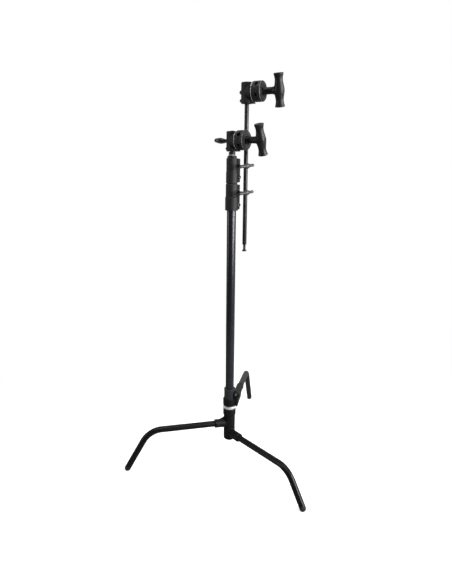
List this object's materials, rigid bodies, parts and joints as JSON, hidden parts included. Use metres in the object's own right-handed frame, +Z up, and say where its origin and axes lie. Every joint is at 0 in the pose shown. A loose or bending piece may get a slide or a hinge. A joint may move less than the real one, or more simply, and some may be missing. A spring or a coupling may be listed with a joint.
{
  "type": "grip stand",
  "caption": "Tall studio grip stand: bent tripod legs, one sliding on the column, telescoping risers with wing clamps, and a grip arm held between disc jaws with T-handles.",
  "frame": {"origin": "floor level under the middle of the bounding box; the column axis is at x = -0.03856, y = -0.10056 m", "axes": "+Z up along the column; +X along the upper grip head's axis, from the arm out to its T-handle; +Y completes the right-handed frame"},
  "size_m": [0.7397, 0.8164, 1.5247],
  "materials": {
    "black_tube": "satin gloss black paint",
    "black_leg": "semi-gloss black paint",
    "black_casting": "rough matte black casting",
    "dark_steel": "black oxide steel",
    "bright_steel": "bright plated",
    "black_plastic": "satin black plastic",
    "black_rubber": "matte black rubber",
    "nylon": "natural nylon"
  },
  "bodies": {
    "base": {"hub_core": "dark_steel", "hub_bottom_cap": "black_casting", "hub_top_casting": "black_casting", "right_leg_bracket": "black_casting", "right_leg_tube": "black_leg", "right_leg_screw": "dark_steel", "right_foot_cap": "black_rubber"},
    "left_leg": {"left_leg_bracket": "black_casting", "left_leg_tube": "black_leg", "left_leg_screw": "dark_steel", "left_foot_cap": "black_rubber"},
    "release_ring": {"release_ring": "bright_steel", "release_knob": "black_plastic"},
    "column": {"column_tube": "black_tube", "column_spigot": "dark_steel", "lower_clamp_casting": "black_casting", "lower_clamp_nut": "dark_steel", "lower_fixing_screw": "dark_steel"},
    "sliding_sleeve": {"sliding_leg_sleeve": "black_tube", "sliding_leg_bush": "nylon"},
    "sliding_leg": {"sliding_leg_casting": "black_casting", "sliding_leg_tube": "black_leg", "sliding_leg_screw": "bright_steel", "sliding_foot_cap": "black_rubber"},
    "lower_clamp_handle": {"lower_wing_handle": "dark_steel", "lower_clamp_screw": "dark_steel"},
    "riser_1": {"riser_1_tube": "dark_steel", "riser_1_guide": "nylon", "upper_clamp_casting": "black_casting", "upper_clamp_nut": "dark_steel", "upper_fixing_screw": "dark_steel"},
    "upper_clamp_handle": {"upper_wing_handle": "dark_steel", "upper_clamp_screw": "dark_steel"},
    "riser_2": {"riser_2_tube": "dark_steel", "riser_2_guide": "nylon", "riser_top_collar": "black_casting", "baby_pin": "dark_steel"},
    "lower_head": {"lower_head_body": "black_casting", "lower_head_bolt": "dark_steel", "lower_set_screw": "dark_steel"},
    "lock_handle": {"lower_lock_handle": "dark_steel", "lower_lock_screw": "dark_steel"},
    "lower_jaws": {"lower_friction_washer": "bright_steel", "lower_inner_jaw": "black_casting", "lower_jaw_spring": "dark_steel"},
    "lower_outer_jaw": {"lower_outer_jaw": "black_casting", "lower_thrust_washer": "dark_steel"},
    "lower_t_handle": {"lower_t_handle": "black_plastic"},
    "grip_arm": {"arm_tube": "dark_steel", "arm_end_stop": "dark_steel", "upper_head_body": "black_casting", "upper_head_bolt": "dark_steel", "upper_end_screw": "dark_steel", "upper_set_screw": "dark_steel"},
    "upper_jaws": {"upper_friction_washer": "bright_steel", "upper_inner_jaw": "black_casting", "upper_jaw_spring": "dark_steel"},
    "upper_outer_jaw": {"upper_outer_jaw": "black_casting", "upper_thrust_washer": "dark_steel"},
    "upper_t_handle": {"upper_t_handle": "black_plastic"}
  },
  "joints": [
    {"name": "left_leg_swivel", "type": "hinge", "parent": "base", "child": "left_leg", "pos_m": [-0.03856, -0.10056, 0.163], "axis": [0, 0, 1], "range_deg": [0, 97]},
    {"name": "release_ring_turn", "type": "hinge", "parent": "base", "child": "release_ring", "pos_m": [-0.03856, -0.10056, 0.2305], "axis": [0, 0, 1], "range_deg": [0, 25], "stiffness_Nm_per_rad": 0.4},
    {"name": "column_lift", "type": "slide", "parent": "base", "child": "column", "axis": [0, 0, 1], "range_m": [0, 0.1]},
    {"name": "sliding_leg_slide", "type": "slide", "parent": "column", "child": "sliding_sleeve", "axis": [0, 0, 1], "range_m": [0, 0.5]},
    {"name": "sliding_leg_swivel", "type": "hinge", "parent": "sliding_sleeve", "child": "sliding_leg", "pos_m": [-0.03856, -0.10056, 0.2548], "axis": [0, 0, 1], "range_deg": [-115, 0]},
    {"name": "lower_clamp_turn", "type": "hinge", "parent": "column", "child": "lower_clamp_handle", "pos_m": [-0.0292, -0.07955, 1.119], "axis": [0.9135, -0.4067, 0], "range_deg": [0, 180]},
    {"name": "riser_1_slide", "type": "slide", "parent": "column", "child": "riser_1", "axis": [0, 0, 1], "range_m": [0, 0.74]},
    {"name": "upper_clamp_turn", "type": "hinge", "parent": "riser_1", "child": "upper_clamp_handle", "pos_m": [-0.0292, -0.07955, 1.2145], "axis": [0.9135, -0.4067, 0], "range_deg": [0, 180]},
    {"name": "riser_2_slide", "type": "slide", "parent": "riser_1", "child": "riser_2", "axis": [0, 0, 1], "range_m": [0, 0.8]},
    {"name": "head_swivel", "type": "hinge", "parent": "riser_2", "child": "lower_head", "pos_m": [-0.03856, -0.10056, 1.304], "axis": [0, 0, 1], "range_deg": [0, 250]},
    {"name": "lock_handle_turn", "type": "hinge", "parent": "lower_head", "child": "lock_handle", "pos_m": [-0.03856, -0.10056, 1.304], "axis": [-0.9914, 0.1305, 0], "range_deg": [0, 180]},
    {"name": "lower_jaws_turn", "type": "hinge", "parent": "lower_head", "child": "lower_jaws", "pos_m": [-0.03856, -0.10056, 1.304], "axis": [0.9914, -0.1305, 0], "range_deg": [0, 95]},
    {"name": "lower_jaw_open", "type": "slide", "parent": "lower_jaws", "child": "lower_outer_jaw", "axis": [0.9914, -0.1305, 0], "range_m": [0, 0.0035]},
    {"name": "lower_t_turn", "type": "hinge", "parent": "lower_outer_jaw", "child": "lower_t_handle", "pos_m": [-0.03856, -0.10056, 1.304], "axis": [0.9914, -0.1305, 0], "range_deg": [0, 720]},
    {"name": "arm_slide", "type": "slide", "parent": "lower_jaws", "child": "grip_arm", "axis": [0, 0, 1], "range_m": [-0.06, 0.34]},
    {"name": "upper_jaws_turn", "type": "hinge", "parent": "grip_arm", "child": "upper_jaws", "pos_m": [0.00962, -0.0832, 1.4675], "axis": [1, 0, 0], "continuous": true},
    {"name": "upper_jaw_open", "type": "slide", "parent": "upper_jaws", "child": "upper_outer_jaw", "axis": [1, 0, 0], "range_m": [0, 0.0035]},
    {"name": "upper_t_turn", "type": "hinge", "parent": "upper_outer_jaw", "child": "upper_t_handle", "pos_m": [0.00962, -0.0832, 1.4675], "axis": [1, 0, 0], "range_deg": [0, 720]}
  ],
  "couplings": [
    {"joint": "lower_t_turn", "follows": "lower_jaw_open", "rad_per_m": 3590},
    {"joint": "upper_t_turn", "follows": "upper_jaw_open", "rad_per_m": 3590}
  ]
}
